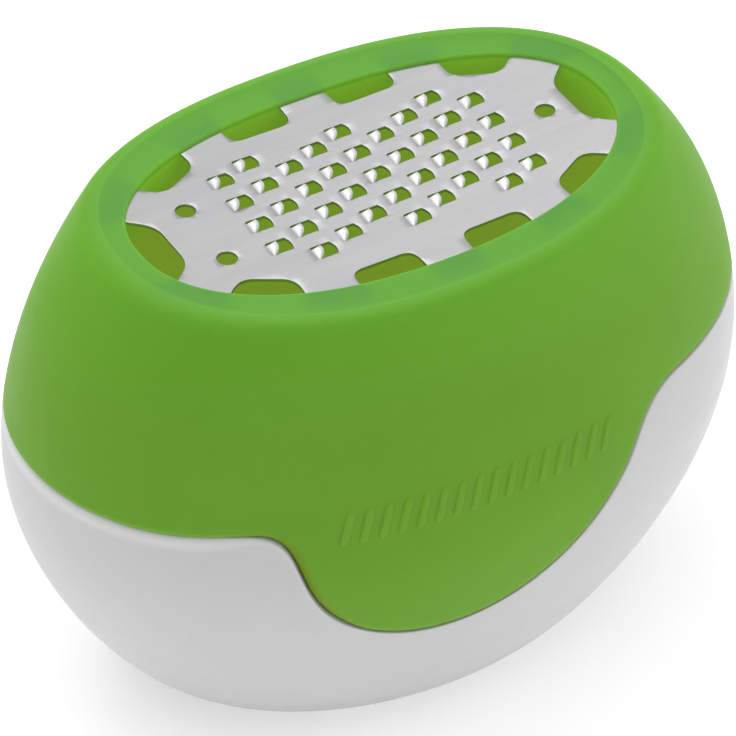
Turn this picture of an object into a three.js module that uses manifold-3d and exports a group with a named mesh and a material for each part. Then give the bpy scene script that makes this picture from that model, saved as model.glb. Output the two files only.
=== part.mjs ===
// Hand-held citrus zester: a formed steel blade held in a soft oval grip, standing on a pull-off cup.
// Millimetres, +Z up. The cup stands on Z = 0, and the long axis of the oval lies along X.

import * as THREE from "three";
import { mergeVertices } from "three/addons/utils/BufferGeometryUtils.js";
import Module from "manifold-3d";

const wasm = await Module();
wasm.setup();

// ---- Driving dimensions ----

// The body is an oval whose half-length and half-width change with height. Each profile is two Bezier
// curves, rim to belt and belt to foot. The end and side profiles share their control heights.
const UPPER_HEIGHTS = [77, 64, 52, 40];
const LOWER_HEIGHTS = [40, 20, 0, 0];
const END_PROFILE = { upper: [42.6, 53.8, 57.4, 57.4], lower: [57.4, 57.4, 41.6, 39] };
const SIDE_PROFILE = { upper: [28.6, 31.6, 35.7, 37.3], lower: [37.3, 39.9, 27.8, 27] };
const OVAL_POWER = { foot: 2, crest: 2.25 }; // superellipse exponent: 2 is a plain ellipse
const CREST = UPPER_HEIGHTS[0];
const SADDLE = { curvature: 0.0019, from: 50 }; // the crest and the blade curve up towards both ends
const CORE = 12; // half-width inside which lathed rings shrink evenly to the axis

const GAP = 0.3; // clearance between neighbouring pieces
const WELD = 0.01; // a finished mesh keeps no edge shorter than this
const AROUND = 72; // facets round the oval
const ALONG = 9; // profile steps in each Bezier curve
const CLEAR = 20; // how far a cutter reaches past the body

const CUP = { wall: 2.2, floor: 2.4, floorEdge: 23, cavityFoot: 12, ringWidth: 5, recess: 0.6 };
// The skirt plugs the cup. It hangs that deep below the seam's lowest point, and wave is the height of
// its own edge's wave as a share of the seam's.
const SKIRT = { depth: 7, wave: 0.5, wall: 2, foot: 12, bends: [18, 22.4], mouth: 47.5, top: 54 };
const GRIP = { wall: 3, roof: 64, collarFoot: 69, collarWall: 2, crestRound: 1.8, lipDrop: 0.4 };
const OPENING = { halfLength: 37.3, halfWidth: 20.9, power: 2.25 }; // the rim's inner edge

const BLADE = { thickness: 0.5, height: 75.9, tabDepth: 2.4, segments: 18 };
const STRIP = { halfLength: 45, halfWidth: 40 };
const TOOTH = { pitchX: 5, pitchY: 5.57, shift: new THREE.Vector2(0.8, 0.4) };
const TOOTH_HOLE = { length: 3.4, width: 2.8, bulge: 0.4 };
const TONGUE = { length: 1.35, width: 2.3, thickness: 0.35, rise: 0.55, bite: 0.45, root: 0.3, sunk: 0.08 };
const ROUND_HOLE = { radius: 1.5, sides: 16, places: [
  new THREE.Vector2(28.3, 0),
  new THREE.Vector2(-27, 6),
  new THREE.Vector2(-27, -6),
] };
const NOTCH = { corner: 1.5, reach: 6 };
const NOTCHES = {
  side: { x: 8.75, y: 20.6, turn: 0, mouth: 10.2, root: 9.8, depth: 4 },
  shoulder: { x: 26.2, y: 16.1, turn: 28, mouth: 10.9, root: 7.6, depth: 4 },
  end: { x: 35.8, y: 0, turn: 90, mouth: 15.2, root: 9.4, depth: 3.5 },
};

// ---- The body's oval ----

function profilePoints(reaches, steps) {
  const halves = [
    [UPPER_HEIGHTS, reaches.upper],
    [LOWER_HEIGHTS, reaches.lower],
  ];
  return halves.flatMap(([heights, values]) => {
    const controls = values.map((reach, i) => new THREE.Vector2(reach, heights[i]));
    return new THREE.CubicBezierCurve(...controls).getPoints(steps);
  });
}

function reachFinder(reaches) {
  const points = profilePoints(reaches, ALONG * 4);
  return (height) => {
    const z = THREE.MathUtils.clamp(height, 0, CREST);
    const below = Math.max(1, points.findIndex((point) => point.y <= z));
    const [high, low] = [points[below - 1], points[below]];
    const share = high.y === low.y ? 0 : (high.y - z) / (high.y - low.y);
    return THREE.MathUtils.lerp(high.x, low.x, share);
  };
}

const halfLength = reachFinder(END_PROFILE);
const halfWidth = reachFinder(SIDE_PROFILE);

function saddleRise(x, z) {
  const share = THREE.MathUtils.smoothstep(z, SADDLE.from, BLADE.height);
  return (share * SADDLE.curvature * x * x) / 2;
}

function signedPower(value, power) {
  return Math.sign(value) * Math.abs(value) ** power;
}

// A lathed ring's radius is the half-width at the middle of a long side. This stretches the ring to
// the body's oval at its height, and lifts the crest into its saddle.
function bendToOval(geometry) {
  const position = geometry.attributes.position;
  for (let i = 0; i < position.count; i += 1) {
    const width = Math.hypot(position.getX(i), position.getY(i));
    const angle = Math.atan2(position.getY(i), position.getX(i));
    const z = position.getZ(i);
    const stretch = (halfLength(z) - halfWidth(z)) * Math.min(1, width / CORE);
    const power = 2 / THREE.MathUtils.mapLinear(z, 0, CREST, OVAL_POWER.foot, OVAL_POWER.crest);
    const x = signedPower(Math.cos(angle), power) * (width + stretch);
    const y = signedPower(Math.sin(angle), power) * width;
    position.setXYZ(i, x, y, z + saddleRise(x, z));
  }
  return geometry;
}

function ovalSolid(profile) {
  const lathe = new THREE.LatheGeometry(profile, AROUND);
  return toSolid(bendToOval(lathe.rotateX(Math.PI / 2)));
}

// ---- Booleans ----

// Joins vertices closer than the tolerance and drops the triangles that this flattens.
function weld(positions, index, tolerance) {
  const bare = new THREE.BufferGeometry();
  bare.setAttribute("position", positions);
  bare.setIndex(index);
  const welded = mergeVertices(bare, tolerance);
  const corners = welded.index.array;
  const triangles = [];
  for (let i = 0; i < corners.length; i += 3) {
    const [a, b, c] = corners.subarray(i, i + 3);
    if (a !== b && b !== c && c !== a) triangles.push(a, b, c);
  }
  return welded.setIndex(triangles);
}

function toSolid(geometry) {
  const welded = weld(geometry.attributes.position, geometry.index, 1e-4);
  return new wasm.Manifold(new wasm.Mesh({
    numProp: 3,
    vertProperties: new Float32Array(welded.attributes.position.array),
    triVerts: new Uint32Array(welded.index.array),
  }));
}

function toMesh(name, solid, look) {
  const { vertProperties, triVerts } = solid.getMesh();
  const positions = new THREE.BufferAttribute(vertProperties, 3);
  const geometry = weld(positions, new THREE.BufferAttribute(triVerts, 1), WELD);
  const mesh = new THREE.Mesh(geometry, new THREE.MeshStandardMaterial(look));
  mesh.name = name;
  return mesh;
}

// A prism that reaches from the foot to well above the crest.
function prism(shape, curveSegments) {
  const options = { depth: CREST + CLEAR, bevelEnabled: false, curveSegments };
  return toSolid(new THREE.ExtrudeGeometry(shape, options));
}

function cut(solid, cutters) {
  return cutters.reduce((left, cutter) => left.subtract(cutter), solid);
}

// ---- The wavy seam between grip and cup ----

// Seen from the -Y side: level round the ends, with a leaning lobe of the grip hanging into the cup.
// The +Y side is the same line turned half a turn about Z.
function seamPoints() {
  const reach = 70;
  const endLevel = 47.5;
  const seam = new THREE.Path();
  seam.moveTo(-reach, endLevel);
  seam.lineTo(-55.5, endLevel);
  seam.bezierCurveTo(-51, 46.9, -46, 46.6, -42, 46.8);
  seam.bezierCurveTo(-36, 47.1, -33.5, 47.2, -31.8, 42.5);
  seam.bezierCurveTo(-30.5, 38.9, -30, 33.5, -25, 29);
  seam.bezierCurveTo(-20, 24.6, -14, 22.8, -8, 22.8);
  seam.bezierCurveTo(4, 22.8, 14, 29.5, 21, 38);
  seam.bezierCurveTo(24.5, 42.3, 25.5, 48.4, 33, 48.4);
  seam.lineTo(48, 48.4);
  seam.bezierCurveTo(52, 48.4, 53, endLevel, 55.5, endLevel);
  seam.lineTo(reach, endLevel);
  return seam.getPoints(6);
}

function offsetLine(points, distance) {
  return points.map((point, i) => {
    const before = points[Math.max(0, i - 1)];
    const after = points[Math.min(points.length - 1, i + 1)];
    const along = after.clone().sub(before).normalize();
    return new THREE.Vector2(point.x - along.y * distance, point.y + along.x * distance);
  });
}

// Two solids, one for each side of the body, that reach from a line like the seam to a level. They
// overlap a little at the middle.
function sideCutters(line, level) {
  const corners = [new THREE.Vector2(line.at(-1).x, level), new THREE.Vector2(line[0].x, level)];
  const shape = new THREE.Shape([...line, ...corners]);
  const overlap = 0.05;
  const depth = SIDE_PROFILE.upper[3] + CLEAR;
  const side = new THREE.ExtrudeGeometry(shape, { depth, bevelEnabled: false });
  side.rotateX(Math.PI / 2).translate(0, overlap, 0);
  return [toSolid(side), toSolid(side.rotateZ(Math.PI))];
}

// ---- Base cup ----

function wallProfile(inset, from, to) {
  return profilePoints(SIDE_PROFILE, ALONG)
    .filter((point) => point.y >= from && point.y <= to)
    .map((point) => new THREE.Vector2(point.x - inset, point.y))
    .sort((a, b) => a.y - b.y);
}

// The cup with a level top, before its wavy rim is cut.
function cupProfile() {
  const top = SKIRT.top + GRIP.wall;
  const ringInside = SIDE_PROFILE.lower[3] - CUP.ringWidth;
  const corner = new THREE.QuadraticBezierCurve(
    new THREE.Vector2(halfWidth(CUP.cavityFoot) - CUP.wall, CUP.cavityFoot),
    new THREE.Vector2(halfWidth(CUP.floor) - CUP.wall, CUP.floor),
    new THREE.Vector2(CUP.floorEdge, CUP.floor),
  );
  return [
    new THREE.Vector2(0, CUP.recess),
    new THREE.Vector2(ringInside - CUP.recess, CUP.recess),
    new THREE.Vector2(ringInside, 0),
    ...wallProfile(0, 0, top),
    ...wallProfile(CUP.wall, CUP.cavityFoot, top).reverse(),
    ...corner.getPoints(4),
    new THREE.Vector2(0, CUP.floor),
  ];
}

function baseCup() {
  return cut(ovalSolid(cupProfile()), sideCutters(seamPoints(), CREST + CLEAR));
}

// ---- Grip shell ----

function closed(profile) {
  return [...profile, profile[0].clone()];
}

function crestProfile() {
  const start = CREST - GRIP.crestRound;
  const outside = halfWidth(start);
  const round = new THREE.QuadraticBezierCurve(
    new THREE.Vector2(outside, start),
    new THREE.Vector2(halfWidth(CREST), CREST),
    new THREE.Vector2(outside - 2 * GRIP.crestRound, CREST),
  );
  return round.getPoints(4);
}

// The whole grip down to the tip of its skirt, thick enough at the bottom for the skirt to be cut.
function gripProfile() {
  const inside = OPENING.halfWidth - GRIP.collarWall;
  const thick = CUP.wall + GAP + SKIRT.wall;
  return closed([
    new THREE.Vector2(halfWidth(SKIRT.foot), SKIRT.foot),
    ...wallProfile(0, SKIRT.foot + 1, CREST - GRIP.crestRound - 1),
    ...crestProfile(),
    new THREE.Vector2(inside, CREST - GRIP.lipDrop),
    new THREE.Vector2(inside, GRIP.collarFoot),
    new THREE.Vector2(OPENING.halfWidth + GRIP.collarWall, GRIP.collarFoot),
    ...wallProfile(GRIP.wall, SKIRT.top + GRIP.wall, GRIP.roof).reverse(),
    new THREE.Vector2(halfWidth(SKIRT.top) - thick, SKIRT.top),
    new THREE.Vector2(skirtWidth(SKIRT.mouth) - SKIRT.wall, SKIRT.mouth),
    new THREE.Vector2(skirtWidth(SKIRT.foot) - SKIRT.wall, SKIRT.foot),
  ]);
}

// The skirt goes straight down from the cup's mouth, and follows the cup in where it narrows.
function skirtWidth(z) {
  return Math.min(halfWidth(z), halfWidth(SKIRT.mouth)) - CUP.wall - GAP;
}

// The space round the skirt that the cup's wall takes up, open to the outside.
function cupSpace(seam) {
  const outside = SIDE_PROFILE.upper[3] + CLEAR;
  const heights = [SKIRT.foot - GRIP.wall, ...SKIRT.bends, SKIRT.mouth, SKIRT.top];
  const inner = heights.map((z) => new THREE.Vector2(skirtWidth(z), z));
  const outer = [SKIRT.top, heights[0]].map((z) => new THREE.Vector2(outside, z));
  const ring = ovalSolid(closed([...inner, ...outer].reverse()));
  const [near, far] = sideCutters(offsetLine(seam, GAP), -CLEAR);
  return ring.intersect(near.add(far));
}

function openingPrism() {
  return prism(superellipse(OPENING.halfLength, OPENING.halfWidth), 1);
}

function skirtPoints(seam) {
  const lowest = Math.min(...seam.map((point) => point.y));
  const height = (y) => lowest - SKIRT.depth + SKIRT.wave * (y - lowest);
  return seam.map((point) => new THREE.Vector2(point.x, height(point.y)));
}

function gripShell() {
  const seam = seamPoints();
  return cut(ovalSolid(gripProfile()), [
    cupSpace(seam),
    ...sideCutters(skirtPoints(seam), -CLEAR),
    openingPrism(),
    bladePlate(GAP),
  ]);
}

// ---- Blade ----

function superellipse(halfX, halfY) {
  const points = [];
  for (let i = 0; i < AROUND; i += 1) {
    const angle = (i * 2 * Math.PI) / AROUND;
    const x = halfX * signedPower(Math.cos(angle), 2 / OPENING.power);
    const y = halfY * signedPower(Math.sin(angle), 2 / OPENING.power);
    points.push(new THREE.Vector2(x, y));
  }
  return new THREE.Shape(points);
}

// A notch drawn with its mouth on X and its root towards -Y, open well beyond the blade's edge.
function notchShape(notch, clearance) {
  const mouth = notch.mouth / 2 - clearance;
  const root = notch.root / 2 - clearance;
  const depth = notch.depth;
  const flare = (mouth - root) / depth;
  const corner = NOTCH.corner;
  const shape = new THREE.Shape();
  shape.moveTo(mouth, NOTCH.reach);
  shape.lineTo(-mouth, NOTCH.reach);
  shape.lineTo(-mouth, 0);
  shape.lineTo(-root - flare * corner, corner - depth);
  shape.quadraticCurveTo(-root, -depth, corner - root, -depth);
  shape.lineTo(root - corner, -depth);
  shape.quadraticCurveTo(root, -depth, root + flare * corner, corner - depth);
  shape.lineTo(mouth, 0);
  return shape;
}

function notchPrisms(notch, clearance) {
  const solid = prism(notchShape(notch, clearance), 4);
  const mirrors = notch.y === 0 ? [[1, 1], [-1, 1]] : [[1, 1], [-1, 1], [1, -1], [-1, -1]];
  return mirrors.map(([alongX, alongY]) =>
    solid.rotate([0, 0, -notch.turn]).translate([notch.x, notch.y, 0]).scale([alongX, alongY, 1]));
}

// A strip a little larger than the blade, bent lengthwise to its saddle.
function arcStrip(bottom, top) {
  const level = [];
  for (let i = 0; i <= BLADE.segments; i += 1) {
    const x = THREE.MathUtils.lerp(-STRIP.halfLength, STRIP.halfLength, i / BLADE.segments);
    level.push(new THREE.Vector2(x, (SADDLE.curvature * x * x) / 2));
  }
  const lower = level.map((point) => new THREE.Vector2(point.x, point.y + bottom));
  const upper = level.map((point) => new THREE.Vector2(point.x, point.y + top));
  const strip = new THREE.Shape([...lower, ...upper.reverse()]);
  const geometry = new THREE.ExtrudeGeometry(strip, { depth: 2 * STRIP.halfWidth, bevelEnabled: false });
  return toSolid(geometry.rotateX(Math.PI / 2).translate(0, STRIP.halfWidth, 0));
}

// Rows lie at thirds of the tooth pitch, so that each column of teeth cuts between its neighbours.
function toothPlaces() {
  const places = [];
  const thirds = [[-5, -2, 1, 4], [-4, -1, 2, 5], [-6, -3, 0, 3, 6]];
  for (let column = -4; column <= 4; column += 1) {
    const kind = (column + 5) % 3;
    for (const third of thirds[kind]) {
      const x = column * TOOTH.pitchX + TOOTH.shift.x;
      const y = (third * TOOTH.pitchY) / 3 + TOOTH.shift.y;
      places.push(new THREE.Vector2(x, y));
    }
  }
  return places;
}

function bladeCutter(shape, place) {
  return prism(shape, 4).translate([place.x, place.y, 0]);
}

function toothHoles() {
  const { length, width, bulge } = TOOTH_HOLE;
  const right = length / 2 - bulge;
  const shape = new THREE.Shape();
  shape.moveTo(-length / 2, -width / 2);
  shape.lineTo(right, -width / 2);
  shape.quadraticCurveTo(right + 2 * bulge, 0, right, width / 2);
  shape.lineTo(-length / 2, width / 2);
  return toothPlaces().map((place) => bladeCutter(shape, place));
}

function roundHoles() {
  const circle = new THREE.EllipseCurve(0, 0, ROUND_HOLE.radius, ROUND_HOLE.radius);
  const shape = new THREE.Shape(circle.getPoints(ROUND_HOLE.sides).slice(1));
  return ROUND_HOLE.places.map((place) => bladeCutter(shape, place));
}

// A tongue that rises over its hole, with a hollow cutting edge.
function tongue(place) {
  const { length, width, thickness, rise, bite, root, sunk } = TONGUE;
  const start = -TOOTH_HOLE.length / 2 - root;
  const end = start + length;
  const shape = new THREE.Shape();
  shape.moveTo(start, -width / 2);
  shape.lineTo(end, -width / 2);
  shape.quadraticCurveTo(end - 2 * bite, 0, end, width / 2);
  shape.lineTo(start, width / 2);
  const options = { depth: thickness, bevelEnabled: false, curveSegments: 4 };
  const geometry = new THREE.ExtrudeGeometry(shape, options);
  const position = geometry.attributes.position;
  for (let i = 0; i < position.count; i += 1) {
    position.setZ(i, position.getZ(i) + ((position.getX(i) - start) / length) * rise);
  }
  const top = BLADE.height + BLADE.thickness / 2 + (SADDLE.curvature * place.x ** 2) / 2;
  return toSolid(geometry.translate(place.x, place.y, top - thickness - sunk));
}

function bladePlate(clearance) {
  const reach = BLADE.tabDepth + clearance;
  const outline = superellipse(OPENING.halfLength + reach, OPENING.halfWidth + reach);
  const notches = Object.values(NOTCHES).flatMap((notch) => notchPrisms(notch, clearance));
  const half = BLADE.thickness / 2 + clearance;
  const slab = arcStrip(BLADE.height - half, BLADE.height + half);
  return cut(prism(outline, 1), notches).intersect(slab);
}

function blade() {
  const plate = cut(bladePlate(0), [...toothHoles(), ...roundHoles()]);
  return toothPlaces().reduce((joined, place) => joined.add(tongue(place)), plate);
}

// ---- Assembly ----

const WHITE_PLASTIC = { color: 0xe9e9ea, roughness: 0.4, metalness: 0 };
const GREEN_RUBBER = { color: 0x66a832, roughness: 0.5, metalness: 0 };
const STEEL = { color: 0xc8c8cb, roughness: 0.35, metalness: 1 };

const zester = new THREE.Group();
zester.add(
  toMesh("base_cup", baseCup(), WHITE_PLASTIC),
  toMesh("grip_shell", gripShell(), GREEN_RUBBER),
  toMesh("blade", blade(), STEEL),
);

export default zester;
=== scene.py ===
"""Looks of a hand-held citrus zester: a steel blade in a soft green grip, on a white pull-off cup."""

import math

import bmesh
import bpy
import numpy as np
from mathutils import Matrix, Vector


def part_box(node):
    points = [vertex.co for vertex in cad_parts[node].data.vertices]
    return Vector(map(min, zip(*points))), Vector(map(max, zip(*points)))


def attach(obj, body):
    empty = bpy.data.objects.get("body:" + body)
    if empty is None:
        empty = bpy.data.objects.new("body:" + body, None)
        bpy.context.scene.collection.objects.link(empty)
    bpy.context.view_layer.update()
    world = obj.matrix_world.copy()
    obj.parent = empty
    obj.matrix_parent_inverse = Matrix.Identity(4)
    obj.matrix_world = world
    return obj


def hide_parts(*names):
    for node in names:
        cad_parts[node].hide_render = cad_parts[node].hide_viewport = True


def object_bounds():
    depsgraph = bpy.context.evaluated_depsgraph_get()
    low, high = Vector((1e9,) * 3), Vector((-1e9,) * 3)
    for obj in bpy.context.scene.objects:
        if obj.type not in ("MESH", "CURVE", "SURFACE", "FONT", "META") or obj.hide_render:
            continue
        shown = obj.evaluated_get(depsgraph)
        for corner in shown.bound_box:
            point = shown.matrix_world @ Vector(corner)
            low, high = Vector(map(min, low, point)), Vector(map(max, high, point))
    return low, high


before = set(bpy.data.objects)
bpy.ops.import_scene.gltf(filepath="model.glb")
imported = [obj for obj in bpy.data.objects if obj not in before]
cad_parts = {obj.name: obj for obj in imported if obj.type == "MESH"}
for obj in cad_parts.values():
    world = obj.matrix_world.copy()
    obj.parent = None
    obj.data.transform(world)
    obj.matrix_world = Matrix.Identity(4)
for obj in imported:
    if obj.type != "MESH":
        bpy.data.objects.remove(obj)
cad_low, cad_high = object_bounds()

# ---- Driving dimensions, in millimetres of the CAD model ----

HALF_LENGTH = 57.4
MM = cad_high.x / HALF_LENGTH  # metres in a millimetre of the CAD model
ROUND_STEPS = 560  # points in each ring round the body; a column is one point of every ring

# The body is an oval whose half-length and half-width change with height. Each profile is two Bezier
# curves, rim to belt and belt to foot.
UPPER_HEIGHTS = [77, 64, 52, 40]
LOWER_HEIGHTS = [40, 20, 0, 0]
END_PROFILE = {"upper": [42.6, 53.8, 57.4, 57.4], "lower": [57.4, 57.4, 41.6, 39]}
SIDE_PROFILE = {"upper": [28.6, 31.6, 35.7, 37.3], "lower": [37.3, 39.9, 27.8, 27]}
FOOT_POWER = 2.0  # superellipse exponents: 2 is a plain ellipse
CREST_POWER = 2.25
CREST = UPPER_HEIGHTS[0]
SADDLE_CURVATURE = 0.0019
SADDLE_FROM = 50
CORE = 12  # half-width inside which rings shrink evenly to the axis

GAP = 0.12  # between the grip's edge and the cup's rim
WALL_ROWS = 40
SEAM_BOUNDS = (15.0, 60.0)  # heights that the seam never leaves
SHARP_ANGLE = 35  # degrees; a sharper edge is shaded as an edge

CUP_WALL = 2.2
CUP_RIM_DROP = 2.2  # the cup's rounded rim, down the wall
CUP_RIM_INSET = 1.0  # the same, across the wall
CUP_RIM_ROUND = 0.3  # the rim's smaller rounding at its inner edge
CUP_FLOOR = 2.4
CUP_FLOOR_EDGE = 23
CUP_CAVITY_FOOT = 12
CUP_RING = 5
CUP_RECESS = 0.6
CUP_FOOT_ROUND = 0.5
CUP_WALL_FOOT = 0.9  # where the even rows of the wall begin
CUP_FOOT_RUBBED = 0.6  # how rubbed an edge is, where 1 is well rubbed
CUP_TINT_SPAN = (-0.1, 0.55)  # where the inside's green tint grows, as shares of its height

SKIRT_DEPTH = 7  # below the seam's lowest point
SKIRT_WAVE = 0.5  # the height of the wave in its lower edge, as a share of the seam's
SKIRT_WALL = 2
SKIRT_MOUTH = 47.5
SKIRT_TOP = 54
SKIRT_TIP_ROUND = 0.4
SKIRT_TIP_RUBBED = 0.4

GRIP_WALL = 3
GRIP_ROOF = 64
GRIP_EDGE_RISE = 1.2  # the grip's rounded lower edge, up the wall
GRIP_EDGE_INSET = 0.8  # the same, across the wall
COLLAR_FOOT = 69
COLLAR_WALL = 2
CREST_ROUND = 1.8
CREST_SPREAD = 1.35  # how much wider than high the crest's rounding is
RIM_DISH = 0.22  # how deep the rim is hollowed
RIM_DISH_LEAN = 0.6  # below 1 the dish is deepest nearer the rim's outer edge
RIM_RUBBED = 0.25
# the crest is rubbed, and carries a painted highlight along the crease where it meets the rim
CREST_RUB_AND_HIGHLIGHT = 1.2
CREST_RUB_AND_HIGHLIGHT_WIDTH = 0.08  # the width of the crest's rubbing and painted highlight on the rim beside it, as a share of the rim's width
LIP_ROUND = 0.5
LIP_DROP = 0.25
LIP_RUBBED = 0.5
LIP_GLOW = 0.3  # how much daylight comes through, from 0 to 1
COLLAR_GLOW = 0.8
OPENING = (37.3, 20.9)

BLADE_THICKNESS = 0.5
BLADE_BEVEL = 0.04
BLADE_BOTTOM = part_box("blade")[0].z / MM
BLADE_TOP = BLADE_BOTTOM + BLADE_THICKNESS
TAB_DEPTH = 2.4
TAB_END_FADE = (1.0, 4.5)  # how far inside and outside a tab's end its tint fades
TAB_SIDE_FADE = (1.2, 0.9)  # the same at its sides
BEND_STEP = 1.5  # the blade is bent in strips this wide
WELD = 1e-4  # points of the blade nearer than this become one
NOTCH_CORNER = 2.0
# Each stands for its mirror images too: the mouth's x and y, its turn from the side's outward
# direction in degrees, its width at the mouth and at the root, and its depth.
NOTCHES = [
    (8.75, 20.6, 0, 10.2, 9.8, 4.0),
    (26.2, 16.1, 28, 10.9, 7.6, 4.0),
    (35.8, 0.0, 90, 15.2, 9.4, 3.5),
]
ROUND_HOLE = 1.5
ROUND_HOLE_PLACES = [(28.3, 0), (-27, 6), (-27, -6)]
TOOTH_PITCH = (5.0, 5.57)
TOOTH_SHIFT = (0.8, 0.4)
TOOTH_COLUMNS = range(-4, 5)
# The teeth's places in three columns that repeat along X, in thirds of the pitch across.
TOOTH_THIRDS = [(-5, -2, 1, 4), (-4, -1, 2, 5), (-6, -3, 0, 3, 6)]
HOLE_LENGTH = 3.4
HOLE_WIDTH = 2.8
HOLE_BULGE = 0.4
HOLE_ROOT = 0.1  # how far the hole reaches past its length, under the tongue's root
HOLE_CORNER = 0.3
TONGUE_ROOT = -1.85  # along X from the middle of the tooth's hole
TONGUE_TIP = -0.35
TONGUE_SIDES = (-1.4, 0.9)
TONGUE_RISE = 0.55
TONGUE_ARCH = 0.3  # how much lower its sides are, as a share of its rise
TONGUE_CORNER = 0.8  # how much of the tip's -Y corner is rounded off
TONGUE_ROOT_THICKNESS = 0.4
TONGUE_TIP_THICKNESS = 0.1
TONGUE_SINK = 0.02  # how deep its root lies under the blade's top
TONGUE_UNDERCUT = 0.05  # how far the underside of its edge is set back
TONGUE_HIGHLIGHT_SPAN = (0.1, 0.9)  # where its painted highlight grows, as shares of its length

RIB_COUNT = 16
RIB_FIRST = -24.0
RIB_LAST = 17.6
RIB_HEIGHT = 46.6
RIB_LENGTH = 5.6
RIB_WIDTH = 1.5
RIB_SLANT = 1.8
RIB_RISE = 0.22
RIB_ROOT = 0.1  # how deep a rib's border lies in the wall

# The wavy seam seen from the -Y side, x and z, as Bezier curves. The +Y side is the same line turned
# half a turn about Z.
SEAM = [
    [(-70, 47.5), (-55.5, 47.5)],
    [(-55.5, 47.5), (-51, 46.9), (-46, 46.6), (-42, 46.8)],
    [(-42, 46.8), (-36, 47.1), (-33.5, 47.2), (-31.8, 42.5)],
    [(-31.8, 42.5), (-30.5, 38.9), (-30, 33.5), (-25, 29)],
    [(-25, 29), (-20, 24.6), (-14, 22.8), (-8, 22.8)],
    [(-8, 22.8), (4, 22.8), (14, 29.5), (21, 38)],
    [(21, 38), (24.5, 42.3), (25.5, 48.4), (33, 48.4)],
    [(33, 48.4), (48, 48.4)],
    [(48, 48.4), (52, 48.4), (53, 47.5), (55.5, 47.5)],
    [(55.5, 47.5), (70, 47.5)],
]

# Stretches along the seam's line, in x. Each fades in over its first pair and out over its second.
LOBE = [(-44, -31), (50, 57)]  # where the cup's rim is rounded less
LOBE_STEP = [(-38, -34), (-27, -21)]  # where the lobe's side comes down steeply, its edge shows, and the edge's painted shade is strongest
LOBE_RIM_SHARE = 0.2  # the rounding that the cup's rim keeps round a lobe
PLAIN_EDGE_AND_SHADE = 0.3  # how much the grip's edge shows, and how strong its painted shade is, away from the lobe's step

# ---- The body's oval ----


def bezier(controls, steps):
    """Points along a Bezier curve, by blending neighbouring controls until one line is left."""
    share = np.linspace(0, 1, steps + 1)[:, None]
    lines = [np.array([point], float) for point in controls]
    while len(lines) > 1:
        lines = [a * (1 - share) + b * share for a, b in zip(lines, lines[1:])]
    return lines[0]


def profile_line(reaches):
    """Heights from the foot up, and the reach at each."""
    upper = bezier(list(zip(reaches["upper"], UPPER_HEIGHTS)), 80)
    lower = bezier(list(zip(reaches["lower"], LOWER_HEIGHTS)), 80)
    line = np.vstack([upper, lower[1:]])[::-1]
    return line[:, 1], line[:, 0]


LENGTH_LINE = profile_line(END_PROFILE)
WIDTH_LINE = profile_line(SIDE_PROFILE)
SEAM_LINE = np.vstack([bezier(curve, 30) for curve in SEAM])


def half_length(z):
    return np.interp(z, *LENGTH_LINE)


def half_width(z):
    return np.interp(z, *WIDTH_LINE)


def smooth_step(value, low, high):
    share = np.clip((value - low) / (high - low), 0, 1)
    return share * share * (3 - 2 * share)


def saddle_rise(x, z):
    share = smooth_step(z, SADDLE_FROM, CREST)
    return share * SADDLE_CURVATURE * x * x / 2


def signed_power(value, power):
    return np.sign(value) * np.abs(value) ** power


def oval_point(angle, width, z):
    """A ring of that half-width at that height, stretched to the body's oval."""
    angle, width, z = np.broadcast_arrays(angle, width, np.asarray(z, float))
    stretch = (half_length(z) - half_width(z)) * np.minimum(1, width / CORE)
    power = 2 / np.interp(z, [0, CREST], [FOOT_POWER, CREST_POWER])
    x = signed_power(np.cos(angle), power) * (width + stretch)
    y = signed_power(np.sin(angle), power) * width
    return np.stack([x, y, z + saddle_rise(x, z)], -1)


def wall_point(angle, z, inset=0.0):
    return oval_point(angle, half_width(z) - inset, z)


def seam_place(angle, z):
    """Where a point of the wall is along the seam's line: x on the -Y side, and -x on the +Y side."""
    x = wall_point(angle, z)[:, 0]
    return np.where(np.sin(angle) < 0, x, -x)


def seam_height(angle, z):
    """The seam's height over the wall's point at that angle and height."""
    return np.interp(seam_place(angle, z), SEAM_LINE[:, 0], SEAM_LINE[:, 1])


def seam_columns():
    """The angle and the seam's height of each column, at even steps along the seam."""
    angle = np.linspace(0, 2 * math.pi, 20 * ROUND_STEPS + 1)
    low = np.full(angle.shape, SEAM_BOUNDS[0])
    high = np.full(angle.shape, SEAM_BOUNDS[1])
    for _ in range(40):
        middle = (low + high) / 2
        above = middle > seam_height(angle, middle)
        high = np.where(above, middle, high)
        low = np.where(above, low, middle)
    steps = np.linalg.norm(np.diff(wall_point(angle, high), axis=0), axis=1)
    travelled = np.concatenate([[0], np.cumsum(steps)])
    even = np.linspace(0, travelled[-1], ROUND_STEPS + 1)[:-1]
    return np.interp(even, travelled, angle), np.interp(even, travelled, high)


ANGLE, SEAM_Z = seam_columns()


def unit(vectors):
    return vectors / np.linalg.norm(vectors, axis=1)[:, None]


def seam_across():
    """How angle and height change for each millimetre that a point moves up the wall off the seam."""
    small = 1e-3
    here = wall_point(ANGLE, SEAM_Z)
    along_seam = unit(np.roll(here, -1, axis=0) - np.roll(here, 1, axis=0))
    level = (wall_point(ANGLE + small, SEAM_Z) - here) / small
    upward = (wall_point(ANGLE, SEAM_Z + small) - here) / small
    outward = unit(np.cross(level, upward))
    across = np.cross(outward, along_seam)
    turn = (across * unit(level)).sum(1) / np.linalg.norm(level, axis=1)
    return turn, across[:, 2]


TURN, LIFT = seam_across()


def between(low, high):
    """How far each column lies in a stretch that fades in over one pair of x and out over another."""
    place = seam_place(ANGLE, SEAM_Z)
    return smooth_step(place, *low) * (1 - smooth_step(place, *high))


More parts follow.
